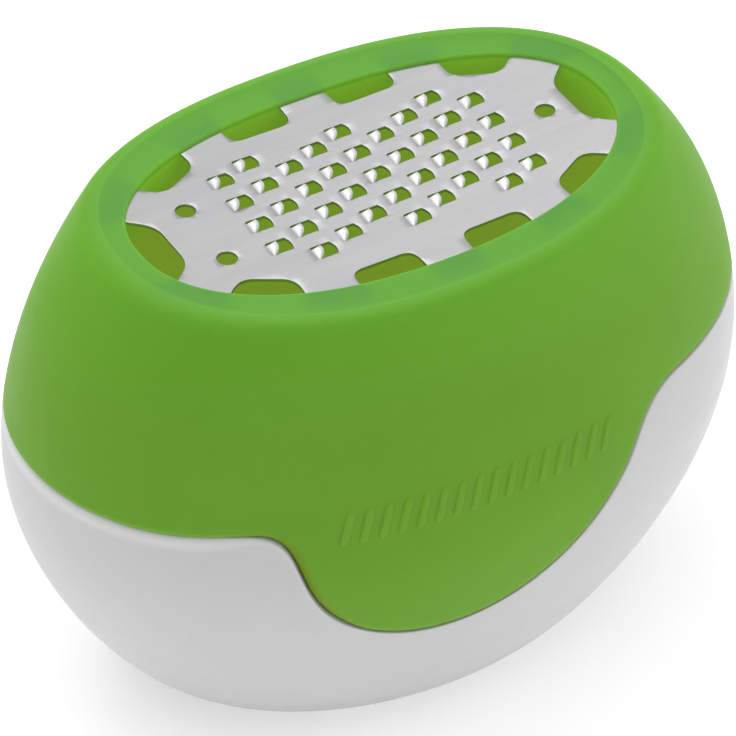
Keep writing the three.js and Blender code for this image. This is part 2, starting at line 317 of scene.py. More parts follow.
RIM_SHARE = 1 - (1 - LOBE_RIM_SHARE) * between(*LOBE)
STEP_EDGE_AND_SHADE = PLAIN_EDGE_AND_SHADE + (1 - PLAIN_EDGE_AND_SHADE) * between(*LOBE_STEP)


def beside_seam(distance, inset=0.0):
    """The ring of points at that distance above the seam, and that deep in the wall."""
    return wall_point(ANGLE + distance * TURN, SEAM_Z + distance * LIFT, inset)


def wall_rows(distance, top, count):
    """Rings from beside the seam up or down the wall to a level."""
    from_angle = ANGLE + distance * TURN
    from_z = SEAM_Z + distance * LIFT
    rows = []
    for share in np.linspace(0, 1, count + 1):
        angle = from_angle + (ANGLE - from_angle) * share
        rows.append(wall_point(angle, from_z + (top - from_z) * share))
    return rows


def opening_point(grow, z):
    """A ring round the rim's opening, grown by that much."""
    x = signed_power(np.cos(ANGLE), 2 / CREST_POWER) * (OPENING[0] + grow)
    y = signed_power(np.sin(ANGLE), 2 / CREST_POWER) * (OPENING[1] + grow)
    return np.stack([x, y, z + saddle_rise(x, np.full(x.shape, float(z)))], -1)


# ---- Meshes ----


class Rings:
    """Rings of points that become one closed skin. Each ring has weights that its material reads."""

    def __init__(self):
        self.points = []
        self.weights = {"edge": [], "fold": [], "glow": [], "rim": []}

    def add(self, ring, **weights):
        self.points.append(ring)
        for key, values in self.weights.items():
            values.append(np.broadcast_to(weights.get(key, 0.0), ROUND_STEPS))

    def faces(self, closed):
        count = len(self.points)
        quads = []
        for row in range(count if closed else count - 1):
            here = row * ROUND_STEPS
            there = ((row + 1) % count) * ROUND_STEPS
            for column in range(ROUND_STEPS):
                beside = (column + 1) % ROUND_STEPS
                quads.append((here + column, here + beside, there + beside, there + column))
        return quads

    def mesh(self, name, closed):
        """A ring-shaped body, or where closed is False, one whose end rings close at the axis."""
        vertices = np.vstack(self.points)
        faces = self.faces(closed)
        weights = {key: np.concatenate(values) for key, values in self.weights.items()}
        if not closed:
            for row, flip in ((0, True), (len(self.points) - 1, False)):
                middle = self.points[row].mean(0)
                hub = len(vertices)
                vertices = np.vstack([vertices, middle])
                weights = {key: np.append(values, 0.0) for key, values in weights.items()}
                for column in range(ROUND_STEPS):
                    pair = (row * ROUND_STEPS + column, row * ROUND_STEPS + (column + 1) % ROUND_STEPS)
                    faces.append((*(pair[::-1] if flip else pair), hub))
        return make_piece(name, vertices, faces, weights)


def make_piece(name, vertices, faces, weights=None):
    """A smooth-shaded object of those points, in millimetres, with named point weights."""
    mesh = bpy.data.meshes.new(name)
    mesh.from_pydata((np.asarray(vertices) * MM).tolist(), [], faces)
    for key, values in (weights or {}).items():
        attribute = mesh.attributes.new(key, "FLOAT", "POINT")
        attribute.data.foreach_set("value", np.asarray(values, np.float32))
    piece = bpy.data.objects.new(name, mesh)
    bpy.context.scene.collection.objects.link(piece)
    smooth(mesh)
    return piece


def smooth(mesh):
    mesh.polygons.foreach_set("use_smooth", [True] * len(mesh.polygons))
    mesh.set_sharp_from_angle(angle=math.radians(SHARP_ANGLE))
    mesh.update()


def quarter(steps):
    """Sines and cosines over a quarter turn."""
    angles = np.linspace(0, math.pi / 2, steps + 1)
    return list(zip(np.sin(angles), np.cos(angles)))


def closed_sheet(upper, lower, vertices, faces):
    """Adds a thin closed body between two grids of points, rows by columns, the upper one facing out."""
    rows, columns = upper.shape[:2]
    first = len(vertices)
    under = first + rows * columns
    vertices.extend(map(tuple, upper.reshape(-1, 3)))
    vertices.extend(map(tuple, lower.reshape(-1, 3)))
    for i in range(rows - 1):
        for j in range(columns - 1):
            a = i * columns + j
            quad = (a, a + 1, a + columns + 1, a + columns)
            faces.append(tuple(first + k for k in quad))
            faces.append(tuple(under + k for k in quad[::-1]))
    border = list(range(columns))
    border += [i * columns + columns - 1 for i in range(1, rows)]
    border += [(rows - 1) * columns + j for j in range(columns - 2, -1, -1)]
    border += [i * columns for i in range(rows - 2, 0, -1)]
    for a, b in zip(border, border[1:] + border[:1]):
        faces.append((first + b, first + a, under + a, under + b))


# ---- Base cup ----


def cup_underside(rings):
    """The shallow recess under the cup, and the flat foot ring round it."""
    ring_inside = SIDE_PROFILE["lower"][3] - CUP_RING
    for share in (0.1, 0.3, 0.5, 0.7, 0.85, 1.0):
        width = (ring_inside - CUP_RECESS) * share
        rings.add(oval_point(ANGLE, width, CUP_RECESS))
    rings.add(oval_point(ANGLE, ring_inside, 0.0))
    rings.add(oval_point(ANGLE, SIDE_PROFILE["lower"][3] - CUP_FOOT_ROUND, 0.0))


def cup_rim(rings):
    """The wavy rim, rounded well outside and a little inside, with a painted highlight along its
    rounding.
    """
    for up, back in quarter(9):
        inset = CUP_RIM_INSET * RIM_SHARE * (1 - back)
        drop = CUP_RIM_DROP * RIM_SHARE * (1 - up)
        # painted highlight: the rim's rounding is lightened towards its top
        rings.add(beside_seam(-drop, inset), edge=min(1, 2 * up) * RIM_SHARE)
    for over, stay in quarter(3):
        inset = CUP_WALL - CUP_RIM_ROUND * (1 - over)
        rings.add(beside_seam(-CUP_RIM_ROUND * (1 - stay), inset), edge=stay * RIM_SHARE)


def cup_inside(rings):
    """Down the inner wall, round the floor's corner and in to the axis."""
    from_z = SEAM_Z - CUP_RIM_ROUND
    for share in np.linspace(0.05, 1, 16):
        z = from_z + (CUP_CAVITY_FOOT - from_z) * share
        rings.add(wall_point(ANGLE, z, CUP_WALL), glow=smooth_step(share, *CUP_TINT_SPAN))
    corner = bezier(
        [
            (half_width(CUP_CAVITY_FOOT) - CUP_WALL, CUP_CAVITY_FOOT),
            (half_width(CUP_FLOOR) - CUP_WALL, CUP_FLOOR),
            (CUP_FLOOR_EDGE, CUP_FLOOR),
        ],
        10,
    )
    for width, z in corner[1:]:
        rings.add(oval_point(ANGLE, width, z), glow=1.0)
    for share in (0.8, 0.6, 0.4, 0.2, 0.1):
        rings.add(oval_point(ANGLE, CUP_FLOOR_EDGE * share, CUP_FLOOR), glow=1.0)


def make_cup():
    rings = Rings()
    cup_underside(rings)
    for out, up in quarter(3):
        z = CUP_FOOT_ROUND * (1 - up)
        width = half_width(z) - CUP_FOOT_ROUND * (1 - out)
        rings.add(oval_point(ANGLE, width, z), edge=CUP_FOOT_RUBBED)
    for row in wall_rows(-CUP_RIM_DROP * RIM_SHARE, CUP_WALL_FOOT, WALL_ROWS)[:0:-1]:
        rings.add(row)
    cup_rim(rings)
    cup_inside(rings)
    return rings.mesh("cup_body", closed=False)


# ---- Grip shell ----


def grip_outside(rings):
    """The rounded edge along the seam, larger at the lobe's step, and the wall above it."""
    roundness = 1 - PLAIN_EDGE_AND_SHADE + STEP_EDGE_AND_SHADE
    rise = GRIP_EDGE_RISE * roundness
    for out, up in quarter(8):
        inset = GRIP_EDGE_INSET * roundness * (1 - out)
        # painted shade: the edge's lower part is coloured olive, most at the lobe's step
        fold = min(1, 1.6 * up) * STEP_EDGE_AND_SHADE
        rings.add(beside_seam(GAP + rise * (1 - up), inset), fold=fold)
    for row in wall_rows(GAP + rise, CREST - CREST_ROUND, WALL_ROWS)[1:]:
        rings.add(row)


def rim_rub_and_highlight(near):
    """How rubbed the rim is, with a painted highlight that grows towards the crest, at a nearness to the
    crest from 0 to 1.
    """
    return RIM_RUBBED + (CREST_RUB_AND_HIGHLIGHT - RIM_RUBBED) * near


def grip_rim(rings):
    """The rounded crest, the slightly dished rim, its lip and the collar down to its foot, with a
    painted highlight along the crest.
    """
    start = CREST - CREST_ROUND
    outside = half_width(start)
    inside = outside - CREST_SPREAD * CREST_ROUND
    crest = bezier([(outside, start), (half_width(CREST), CREST), (inside, CREST)], 10)
    for step, (width, z) in enumerate(crest[1:], 1):
        near = (step / 10) ** 3
        rings.add(oval_point(ANGLE, width, z), edge=rim_rub_and_highlight(near), rim=near)
    outer = rings.points[-1]
    lip_z = CREST - LIP_DROP
    inner = opening_point(LIP_ROUND, lip_z)
    for share in np.linspace(0, 1, 25)[1:-1]:
        ring = outer * (1 - share) + inner * share
        ring[:, 2] -= RIM_DISH * math.sin(math.pi * share**RIM_DISH_LEAN)
        rings.add(ring, edge=rim_rub_and_highlight(math.exp(-((share / CREST_RUB_AND_HIGHLIGHT_WIDTH) ** 2))), rim=1.0)
    for down, back in quarter(6):
        ring = opening_point(LIP_ROUND * (1 - down), lip_z - LIP_ROUND * (1 - back))
        rings.add(ring, edge=LIP_RUBBED, rim=1 - down, glow=LIP_GLOW * down)
    for z in np.linspace(lip_z - LIP_ROUND, COLLAR_FOOT, 14)[1:]:
        rings.add(opening_point(0.0, z), glow=COLLAR_GLOW)


def skirt_tip():
    """The height of the skirt's lower edge in each column."""
    lowest = SEAM_Z.min()
    return lowest - SKIRT_DEPTH + SKIRT_WAVE * (SEAM_Z - lowest)


def skirt_width(z):
    """The skirt's outside. It goes straight down from the cup's mouth and follows the cup in below."""
    return np.minimum(half_width(z), half_width(SKIRT_MOUTH)) - CUP_WALL - GAP


def grip_inside(rings):
    """From the collar's foot out under the roof and down the inside, to the skirt's tip."""
    rings.add(opening_point(COLLAR_WALL, COLLAR_FOOT), glow=1.0)
    for z in np.linspace(GRIP_ROOF, SKIRT_TOP + GRIP_WALL, 6):
        rings.add(wall_point(ANGLE, z, GRIP_WALL), glow=1.0)
    rings.add(wall_point(ANGLE, SKIRT_TOP, CUP_WALL + GAP + SKIRT_WALL), glow=1.0)
    tip = skirt_tip()
    for share in np.linspace(0, 1, 24):
        z = SKIRT_MOUTH + (tip + SKIRT_TIP_ROUND - SKIRT_MOUTH) * share
        rings.add(oval_point(ANGLE, skirt_width(z) - SKIRT_WALL, z), glow=1.0)


def grip_skirt(rings):
    """Round the skirt's tip and up its outside to the ledge over the cup's rim."""
    tip = skirt_tip()
    for inset in (SKIRT_WALL - SKIRT_TIP_ROUND, SKIRT_TIP_ROUND):
        rings.add(oval_point(ANGLE, skirt_width(tip) - inset, tip), edge=SKIRT_TIP_RUBBED)
    angle = ANGLE + GAP * TURN
    top = SEAM_Z + GAP * LIFT
    for share in np.linspace(0, 1, 16):
        z = tip + SKIRT_TIP_ROUND + (top - tip - SKIRT_TIP_ROUND) * share
        rings.add(oval_point(ANGLE + (angle - ANGLE) * share, skirt_width(z), z))


def tab_share(x, y):
    """How far a point of the rim lies over one of the blade's tabs, from 0 to 1, with soft limits."""
    ratio_x = np.abs(x) / OPENING[0]
    ratio_y = np.abs(y) / OPENING[1]
    ratio = (ratio_x**CREST_POWER + ratio_y**CREST_POWER) ** (1 / CREST_POWER)
    beyond = (1 - 1 / ratio) * np.hypot(x, y)
    share = 1 - smooth_step(beyond, TAB_DEPTH - TAB_END_FADE[0], TAB_DEPTH + TAB_END_FADE[1])
    for notch in all_notches():
        across, outward = notch.local(x, y)
        half = notch.mouth / 2
        inside = 1 - smooth_step(np.abs(across), half - TAB_SIDE_FADE[0], half + TAB_SIDE_FADE[1])
        share = share * np.where(outward > -notch.depth, 1 - inside, 1)
    return share


def make_grip():
    rings = Rings()
    grip_outside(rings)
    grip_rim(rings)
    grip_inside(rings)
    grip_skirt(rings)
    piece = rings.mesh("grip_body", closed=True)
    points = np.vstack(rings.points)
    over = np.where(points[:, 2] > BLADE_TOP, tab_share(points[:, 0], points[:, 1]), 0)
    attribute = piece.data.attributes.new("tab", "FLOAT", "POINT")
    attribute.data.foreach_set("value", over.astype(np.float32))
    return piece


# ---- Raised ribs on the grip's near side, where a thumb rests ----


def near_wall(x, z, inset):
    """The wall's point on the -Y side at that x and height."""
    power = 2 / np.interp(z, [0, CREST], [FOOT_POWER, CREST_POWER])
    cosine = np.sign(x) * (np.abs(x) / half_length(z)) ** (1 / power)
    return wall_point(-np.arccos(cosine), z, inset)


def make_ribs():
    """A row of low slanted ribs that grow out of the wall, each a closed body with its foot in it."""
    vertices = []
    faces = []
    along = np.linspace(-1, 1, 17)[:, None]
    across = np.linspace(-1, 1, 13)[None, :]
    narrowing = np.sqrt(1 - 0.98 * along**8)  # the ends are round, and just short of a point
    proud = (RIB_ROOT + RIB_RISE) * (1 - across**4) * (1 - along**8) - RIB_ROOT
    for middle in np.linspace(RIB_FIRST, RIB_LAST, RIB_COUNT):
        x = middle + RIB_SLANT * along / 2 + RIB_WIDTH / 2 * across * narrowing
        z = RIB_HEIGHT + RIB_LENGTH / 2 * along + 0 * across
        shape = (*x.shape, 3)
        upper = near_wall(x.ravel(), z.ravel(), -proud.ravel()).reshape(shape)
        lower = near_wall(x.ravel(), z.ravel(), 4 * RIB_ROOT).reshape(shape)
        closed_sheet(upper, lower, vertices, faces)
    return make_piece("grip_ribs", vertices, faces)


# ---- Blade ----


class Notch:
    """A notch in the blade's edge, with its mouth's middle at a point and facing outward."""

    def __init__(self, place, outward, mouth, root, depth):
        self.place = np.array(place, float)
        self.outward = np.array(outward, float)
        self.along = np.array([outward[1], -outward[0]], float)
        self.mouth = mouth
        self.root = root
        self.depth = depth

    def local(self, x, y):
        offset = np.stack([x - self.place[0], y - self.place[1]], -1)
        return offset @ self.along, offset @ self.outward

    def outline(self):
        """From the mouth's +along end round the root to its other end."""
        flare = (self.mouth - self.root) / 2 / self.depth
        half = self.root / 2
        foot = (half + flare * NOTCH_CORNER, NOTCH_CORNER - self.depth)
        corner = bezier([foot, (half, -self.depth), (half - NOTCH_CORNER, -self.depth)], 8)
        right = np.vstack([[(self.mouth / 2, 0)], corner])
        left = right[::-1] * [-1, 1]
        local = np.vstack([right, left])
        return self.place + local[:, :1] * self.along + local[:, 1:] * self.outward


def all_notches():
    """Every notch of the blade, from NOTCHES and their mirror images."""
    found = []
    for x, y, turn, mouth, root, depth in NOTCHES:
        side_x = math.sin(math.radians(turn))
        side_y = math.cos(math.radians(turn))
        for sign_x, sign_y in ((1, 1), (-1, 1), (1, -1), (-1, -1)):
            if y == 0 and sign_y < 0:
                continue
            place = (sign_x * x, sign_y * y)
            found.append(Notch(place, (sign_x * side_x, sign_y * side_y), mouth, root, depth))
    return found


def blade_outline():
    """The oval with its notches, anticlockwise."""
    angle = np.linspace(0, 2 * math.pi, 721)[:-1] + math.pi / 4
    x = signed_power(np.cos(angle), 2 / CREST_POWER) * (OPENING[0] + TAB_DEPTH)
    y = signed_power(np.sin(angle), 2 / CREST_POWER) * (OPENING[1] + TAB_DEPTH)
    owner = np.full(angle.shape, -1)
    notches = all_notches()
    for index, notch in enumerate(notches):
        across, outward = notch.local(x, y)
        inside = (np.abs(across) < notch.mouth / 2) & (outward > -notch.depth)
        owner[inside] = index
    points = []
    for i, index in enumerate(owner):
        if index < 0:
            points.append((x[i], y[i]))
        elif owner[i - 1] != index:
            notch = notches[index]
            brim = notch.outward * notch.local(x[i], y[i])[1]
            outline = notch.outline()
            points.append(tuple(outline[0] + brim))
            points.extend(map(tuple, outline))
            points.append(tuple(outline[-1] + brim))
    return points


def tooth_places():
    """The middles of the teeth's openings, x and y."""
    places = []
    for column in TOOTH_COLUMNS:
        for third in TOOTH_THIRDS[(column + 5) % 3]:
            x = column * TOOTH_PITCH[0] + TOOTH_SHIFT[0]
            y = third * TOOTH_PITCH[1] / 3 + TOOTH_SHIFT[1]
            places.append((x, y))
    return places


def tooth_hole(place):
    """A tooth's opening: square behind its tongue, and curved where the zest comes in."""
    half = HOLE_LENGTH / 2
    side = HOLE_WIDTH / 2
    right = half - HOLE_BULGE
    left = -half - HOLE_ROOT
    rounded = HOLE_CORNER - half
    lower = bezier([(left, HOLE_CORNER - side), (left, -side), (rounded, -side)], 3)
    curve = bezier([(right, -side), (right + 2 * HOLE_BULGE, 0), (right, side)], 12)
    upper = bezier([(rounded, side), (left, side), (left, side - HOLE_CORNER)], 3)
    return np.vstack([lower, curve, upper]) + place


def round_hole(place):
    angle = np.linspace(0, 2 * math.pi, 37)[:-1]
    return np.stack([np.cos(angle), np.sin(angle)], -1) * ROUND_HOLE + place


def flat_blade():
    """The blade's outline with its holes as a filled curve, made a solid with bevelled edges."""
    curve = bpy.data.curves.new("blade_outline", "CURVE")
    curve.dimensions = "2D"
    curve.fill_mode = "BOTH"
    curve.extrude = BLADE_THICKNESS / 2 - BLADE_BEVEL
    curve.bevel_depth = BLADE_BEVEL
    curve.bevel_resolution = 1
    curve.offset = -BLADE_BEVEL
    holes = [tooth_hole(place) for place in tooth_places()]
    holes += [round_hole(place) for place in ROUND_HOLE_PLACES]
    for line in [blade_outline(), *holes]:
        spline = curve.splines.new("POLY")
        spline.points.add(len(line) - 1)
        for point, (x, y) in zip(spline.points, line):
            point.co = (x, y, 0, 1)
        spline.use_cyclic_u = True
    holder = bpy.data.objects.new("blade_outline", curve)
    mesh = bpy.data.meshes.new_from_object(holder)
    bpy.data.objects.remove(holder)
    bpy.data.curves.remove(curve)
    return mesh


def cut_into_strips(work):
    """Cuts the flat blade across, so that it can bend."""
    reach = OPENING[0] + TAB_DEPTH
    for x in np.arange(-reach + BEND_STEP, reach, BEND_STEP):
        everything = work.verts[:] + work.edges[:] + work.faces[:]
        plane = {"plane_co": (x, 0, 0), "plane_no": (1, 0, 0)}
        bmesh.ops.bisect_plane(work, geom=everything, dist=WELD, **plane)


def tongue(place):
    """A tooth's raised tongue, thinning to its edge: its top points and its bottom points."""
    along = np.linspace(0, 1, 11)[None, :]
    across = np.linspace(-1, 1, 9)[:, None]
    middle = (TONGUE_SIDES[0] + TONGUE_SIDES[1]) / 2
    half = (TONGUE_SIDES[1] - TONGUE_SIDES[0]) / 2
    tip = TONGUE_TIP - TONGUE_CORNER * ((1 - across) / 2) ** 3
    x = place[0] + TONGUE_ROOT + (tip - TONGUE_ROOT) * along
    y = place[1] + middle + half * across + 0 * along
    arch = 1 - TONGUE_ARCH * across**2
    rise = TONGUE_RISE * along**2 * arch
    top = BLADE_TOP - TONGUE_SINK + rise
    thinning = TONGUE_ROOT_THICKNESS - TONGUE_TIP_THICKNESS
    thickness = TONGUE_ROOT_THICKNESS - thinning * along + 0 * across
    bend = SADDLE_CURVATURE * x * x / 2
    upper = np.stack([x, y, top + bend], -1)
    lower = np.stack([x - TONGUE_UNDERCUT * along, y, top + bend - thickness], -1)
    return upper, lower


def add_tongues(vertices, faces, weights):
    """Adds every tooth's tongue, with how strongly each of its points carries a painted highlight."""
    for place in tooth_places():
        upper, lower = tongue(place)
        closed_sheet(upper, lower, vertices, faces)
        rows, columns = upper.shape[:2]
        tongue_highlight = smooth_step(np.linspace(0, 1, columns), *TONGUE_HIGHLIGHT_SPAN)
        weights.extend(np.tile(tongue_highlight, 2 * rows).tolist())


def make_blade():
    """The flat blade bent to the crest's saddle, with its teeth's tongues."""
    mesh = flat_blade()
    work = bmesh.new()
    work.from_mesh(mesh)
    bpy.data.meshes.remove(mesh)
    bmesh.ops.remove_doubles(work, verts=work.verts[:], dist=WELD)
    cut_into_strips(work)
    bmesh.ops.recalc_face_normals(work, faces=work.faces[:])
    work.verts.ensure_lookup_table()
    lift = BLADE_BOTTOM + BLADE_THICKNESS / 2
    vertices = []
    for vertex in work.verts:
        x, y, z = vertex.co
        vertices.append((x, y, z + lift + SADDLE_CURVATURE * x * x / 2))
    faces = [tuple(corner.index for corner in face.verts) for face in work.faces]
    work.free()
    weights = [0.0] * len(vertices)
    add_tongues(vertices, faces, weights)
    piece = make_piece("blade_plate", vertices, faces, {"edge": weights})
    lay_out(piece.data)
    return piece


def lay_out(mesh):
    """A flat map of the blade, so that its grain has a direction."""
    layer = mesh.uv_layers.new(name="grain")
    corners = np.zeros(len(mesh.loops), np.int32)
    mesh.loops.foreach_get("vertex_index", corners)
    places = np.zeros(len(mesh.vertices) * 3, np.float32)
    mesh.vertices.foreach_get("co", places)
    flat = places.reshape(-1, 3)[corners, :2] / (2 * HALF_LENGTH * MM) + 0.5
    layer.data.foreach_set("uv", flat.ravel())


# ---- Materials ----


class Surface:
    """A node material: its Principled shader, and short calls for the nodes that feed it."""

    def __init__(self, name):
        self.material = bpy.data.materials.new(name)
        self.material.use_nodes = True
        self.nodes = self.material.node_tree.nodes
        self.links = self.material.node_tree.links
        self.shader = self.nodes["Principled BSDF"]
        self.place = self.nodes.new("ShaderNodeTexCoord").outputs["Object"]

    def set(self, **values):
        for name, value in values.items():
            socket = name.replace("_", " ").title().replace("Ior", "IOR")
            self.shader.inputs[socket].default_value = value

    def feed(self, socket, output):
        self.links.new(output, self.shader.inputs[socket])

    def stretched(self, scale):
        node = self.nodes.new("ShaderNodeMapping")
        node.inputs["Scale"].default_value = scale
        self.links.new(self.place, node.inputs["Vector"])
        return node.outputs["Vector"]

    def noise(self, scale, detail=3.0, roughness=0.5, place=None):
        node = self.nodes.new("ShaderNodeTexNoise")
        node.inputs["Scale"].default_value = scale
        node.inputs["Detail"].default_value = detail
        node.inputs["Roughness"].default_value = roughness
        self.links.new(place or self.place, node.inputs["Vector"])
        return node.outputs["Fac"]

    def spread(self, value, low, high, to_low=0.0, to_high=1.0):
        node = self.nodes.new("ShaderNodeMapRange")
        node.inputs["From Min"].default_value = low
        node.inputs["From Max"].default_value = high
        node.inputs["To Min"].default_value = to_low
        node.inputs["To Max"].default_value = to_high
        self.links.new(value, node.inputs["Value"])
        return node.outputs["Result"]

    def maths(self, operation, a, b):
        node = self.nodes.new("ShaderNodeMath")
        node.operation = operation
        for socket, value in zip(node.inputs, (a, b)):
            if isinstance(value, (int, float)):
                socket.default_value = value
            else:
                self.links.new(value, socket)
        return node.outputs["Value"]

    def share_of(self, value, share):
        return self.maths("MULTIPLY", value, share)

    def mix(self, share, a, b):
        node = self.nodes.new("ShaderNodeMix")
        node.data_type = "RGBA"
        self.links.new(share, node.inputs["Factor"])
        for name, value in (("A", a), ("B", b)):
            socket = next(s for s in node.inputs if s.name == name and s.type == "RGBA")
            if isinstance(value, tuple):
                socket.default_value = (*value, 1)
            else:
                self.links.new(value, socket)
        return next(s for s in node.outputs if s.type == "RGBA")

    def weight(self, name):
        node = self.nodes.new("ShaderNodeAttribute")
        node.attribute_name = name
        return node.outputs["Fac"]

    def height(self):
        node = self.nodes.new("ShaderNodeSeparateXYZ")
        self.links.new(self.place, node.inputs["Vector"])
        return node.outputs["Z"]

    def bump(self, value, distance, strength, after=None):
        node = self.nodes.new("ShaderNodeBump")
        node.inputs["Distance"].default_value = distance
        node.inputs["Strength"].default_value = strength
        self.links.new(value, node.inputs["Height"])
        if after is not None:
            self.links.new(after, node.inputs["Normal"])
        return node.outputs["Normal"]


# Colours are linear red, green and blue. Heights and bump distances are in metres.

GREEN = [(0.156, 0.372, 0.023), (0.168, 0.394, 0.028)]  # the clouds' darkest and lightest
GREEN_SPECK = (0.25, 0.5, 0.08)
GREEN_UPPER = (0.152, 0.460, 0.022)  # the wall towards the crest, where more daylight comes through
GREEN_RIM = (0.145, 0.42, 0.050)
GREEN_RUBBED_AND_HIGHLIGHT = (0.20, 0.50, 0.07)
# rubbed edges, and the painted highlight along the crest
GREEN_OVER_TAB = (0.08, 0.27, 0.08)
# painted shade on the grip's rounded lower edge, which turns down and away from the light
GREEN_EDGE_SHADE = (0.18, 0.30, 0.003)
GREEN_GLOW = [(0.150, 0.210, 0.020), (0.130, 0.265, 0.020)]  # inside the walls, and up at the collar
GREEN_GLOW_STRENGTH = 0.9
GRIP_SOFTNESS = 0.6  # how much of the rubber's light is scattered under its skin
UPPER_WALL = (0.058, 0.077)
COLLAR = (0.069, 0.077)

WHITE = [(0.605, 0.605, 0.61), (0.645, 0.645, 0.65)]
WHITE_DUST = (0.55, 0.54, 0.52)
# rubbed edges at the foot, and a painted highlight along the rim's rounding
WHITE_RUBBED_AND_HIGHLIGHT = (0.88, 0.88, 0.88)
WHITE_TINT = (0.12, 0.20, 0.015)
WHITE_TINT_STRENGTH = 0.12
DUSTY_FOOT = (0.0, 0.006)

STEEL = [(0.51, 0.51, 0.52), (0.56, 0.56, 0.57)]
STEEL_MARKS = (0.48, 0.48, 0.50)
# painted highlight on the teeth's tongues, which tilt towards the light
STEEL_TONGUE_HIGHLIGHT = (0.93, 0.93, 0.93)

PALE = [(0.92, 0.92, 0.92), (0.94, 0.94, 0.94)]


def green_rubber(name, softness):
    """Soft translucent rubber: cloudy colour, a fine matt skin, handling marks, rubbed edges, a painted
    highlight along the crest and painted shade on the lower edge.

    Its inner walls glow a little with the daylight that comes through them.
    """
    skin = Surface(name)
    colour = skin.mix(skin.spread(skin.noise(scale=45), 0.3, 0.7), *GREEN)
    speck = skin.spread(skin.noise(scale=1400, detail=2), 0.62, 0.75)
    colour = skin.mix(skin.share_of(speck, 0.12), colour, GREEN_SPECK)
    upper = skin.spread(skin.height(), *UPPER_WALL, to_high=0.6)
    colour = skin.mix(upper, colour, GREEN_UPPER)
    colour = skin.mix(skin.weight("rim"), colour, GREEN_RIM)
    # rubbed edges, and the painted highlight along the crest
    colour = skin.mix(skin.share_of(skin.weight("edge"), 0.35), colour, GREEN_RUBBED_AND_HIGHLIGHT)
    colour = skin.mix(skin.share_of(skin.weight("tab"), 0.33), colour, GREEN_OVER_TAB)
    # painted shade along the grip's rounded lower edge
    colour = skin.mix(skin.share_of(skin.weight("fold"), 0.85), colour, GREEN_EDGE_SHADE)
    skin.feed("Base Color", colour)
    handled = skin.noise(scale=70, detail=5, roughness=0.65)
    skin.feed("Roughness", skin.spread(handled, 0.35, 0.7, to_low=0.46, to_high=0.60))
    grain = skin.bump(skin.noise(scale=2600, detail=2), distance=0.00003, strength=0.5)
    waves = skin.bump(skin.noise(scale=160), distance=0.0001, strength=0.3, after=grain)
    skin.feed("Normal", waves)
    skin.feed("Emission Color", skin.mix(skin.spread(skin.height(), *COLLAR), *GREEN_GLOW))
    skin.feed("Emission Strength", skin.share_of(skin.weight("glow"), GREEN_GLOW_STRENGTH))
    skin.set(specular_ior_level=0.35, ior=1.3)
    skin.set(subsurface_weight=softness, subsurface_scale=0.002)
    skin.set(subsurface_radius=(0.6, 1.0, 0.3))
    return skin.material


def white_plastic():
    """Satin moulded plastic with a faint orange peel, hairline scuffs and a trace of dust at its foot.

    Its inside is tinted by the green light that comes through the grip.
    """
    skin = Surface("white_plastic")
    colour = skin.mix(skin.spread(skin.noise(scale=30, detail=4), 0.3, 0.7), *WHITE)
    low = skin.spread(skin.height(), *DUSTY_FOOT, to_low=0.35, to_high=0.0)
    patches = skin.spread(skin.noise(scale=220, detail=4), 0.35, 0.65)
    colour = skin.mix(skin.maths("MULTIPLY", low, patches), colour, WHITE_DUST)
    # rubbed edges at the foot, and a painted highlight along the rim's rounding
    colour = skin.mix(skin.share_of(skin.weight("edge"), 0.6), colour, WHITE_RUBBED_AND_HIGHLIGHT)
    skin.feed("Base Color", colour)
    scuffs = skin.noise(scale=60, detail=6, roughness=0.6, place=skin.stretched((1, 1, 9)))
    skin.feed("Roughness", skin.spread(scuffs, 0.35, 0.7, to_low=0.30, to_high=0.44))
    peel = skin.bump(skin.noise(scale=900, detail=2), distance=0.00002, strength=0.4)
    waves = skin.bump(skin.noise(scale=90, detail=2), distance=0.0001, strength=0.15, after=peel)
    skin.feed("Normal", waves)
    skin.feed("Emission Strength", skin.share_of(skin.weight("glow"), WHITE_TINT_STRENGTH))
    skin.set(emission_color=(*WHITE_TINT, 1))
    skin.set(subsurface_weight=0.1, subsurface_scale=0.002, ior=1.5)
    return skin.material


def brushed_steel():
    """Rolled steel brushed along X, with a painted highlight on the teeth's tongues and a few water
    marks.
    """
    skin = Surface("brushed_steel")
    lines = skin.noise(scale=1500, detail=4, roughness=0.6, place=skin.stretched((0.03, 1, 1)))
    broad = skin.noise(scale=300, place=skin.stretched((0.08, 1, 1)))
    tone = skin.share_of(skin.maths("ADD", lines, broad), 0.5)
    colour = skin.mix(skin.spread(tone, 0.35, 0.65), *STEEL)
    marks = skin.spread(skin.noise(scale=110, detail=4, roughness=0.6), 0.55, 0.75)
    colour = skin.mix(skin.share_of(marks, 0.3), colour, STEEL_MARKS)
    # painted highlight on the teeth's tongues
    colour = skin.mix(skin.weight("edge"), colour, STEEL_TONGUE_HIGHLIGHT)
    skin.feed("Base Color", colour)
    skin.feed("Roughness", skin.spread(tone, 0.3, 0.7, to_low=0.30, to_high=0.42))
    skin.feed("Normal", skin.bump(lines, distance=0.00001, strength=0.12))
    skin.set(metallic=1.0, anisotropic=0.6)
    tangent = skin.nodes.new("ShaderNodeTangent")
    tangent.direction_type = "UV_MAP"
    tangent.uv_map = "grain"
    skin.feed("Tangent", tangent.outputs["Tangent"])
    return skin.material


def pale_floor():
    skin = Surface("pale_floor")
    skin.feed("Base Color", skin.mix(skin.spread(skin.noise(scale=4), 0.3, 0.7), *PALE))
    skin.set(roughness=0.8, emission_color=(1, 1, 1, 1), emission_strength=0.28)
    return skin.material


